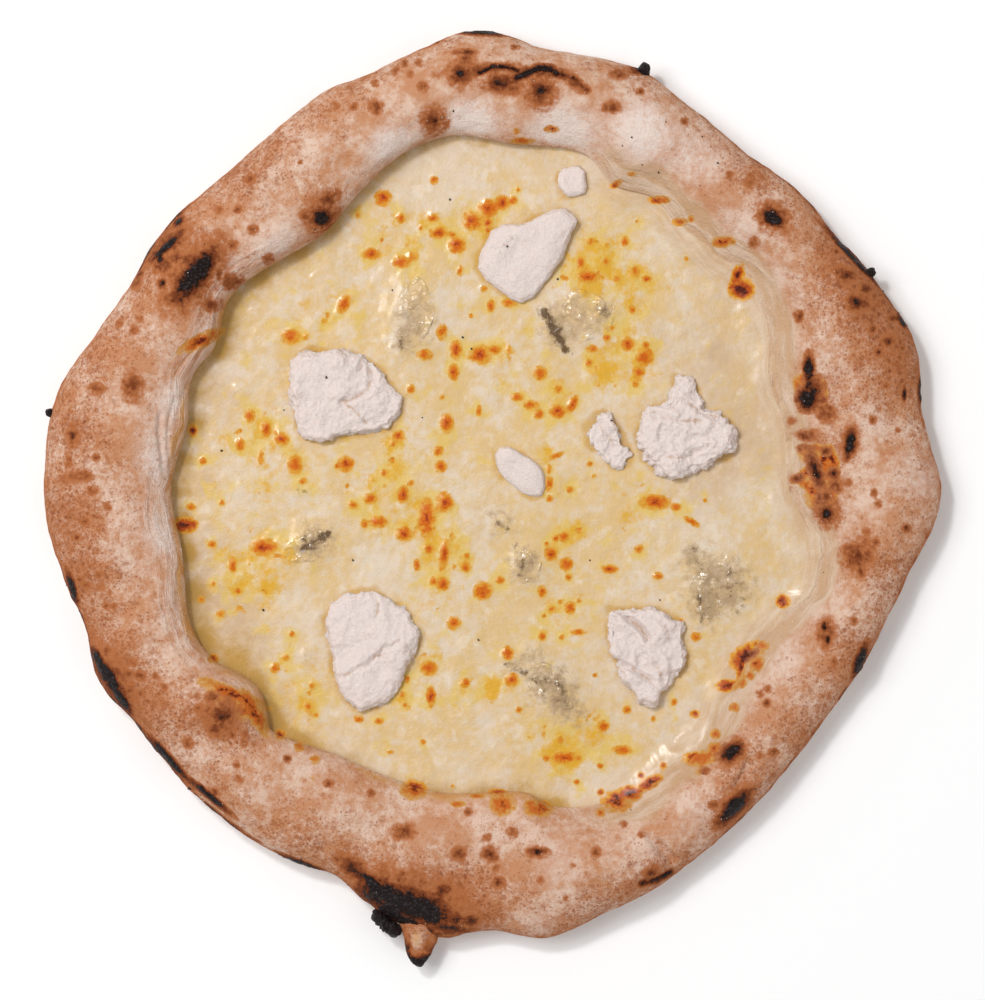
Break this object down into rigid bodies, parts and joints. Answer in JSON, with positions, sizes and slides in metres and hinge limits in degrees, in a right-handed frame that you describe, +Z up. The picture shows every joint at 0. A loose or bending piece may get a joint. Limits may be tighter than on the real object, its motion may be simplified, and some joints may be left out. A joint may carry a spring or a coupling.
{
  "type": "four cheese pizza",
  "caption": "Whole round thin-base pizza with a wide puffed, charred rim, a pool of melted cheese, torn white curd and half-melted lumps of blue cheese; lies flat.",
  "frame": {"origin": "on the table under the middle of the pizza's bounding box", "axes": "+Z up out of the toppings; +Y towards the top of the pizza as seen from above, with the burnt spike at -Y"},
  "size_m": [0.3199, 0.3344, 0.028],
  "materials": {
    "crust": "matt baked dough, floury inside, toasted and charred in spots outside",
    "melt": "soft satin melt with golden-brown blisters",
    "curd": "matt, crumbly, moist white",
    "blue_cheese": "soft satin, grey-green veined"
  },
  "bodies": {
    "root": {"crust": "crust", "melted_cheese": "melt", "curd_top_slab": "curd", "curd_left_lump": "curd", "curd_lower_left_slab": "curd", "curd_lower_right_fold": "curd", "curd_right_crumble": "curd", "curd_small_crumble": "curd", "curd_middle_drop": "curd", "curd_top_drop": "curd", "blue_upper": "blue_cheese", "blue_upper_left": "blue_cheese", "blue_lower": "blue_cheese", "blue_right": "blue_cheese", "blue_left": "blue_cheese", "blue_middle": "blue_cheese"}
  },
  "joints": []
}
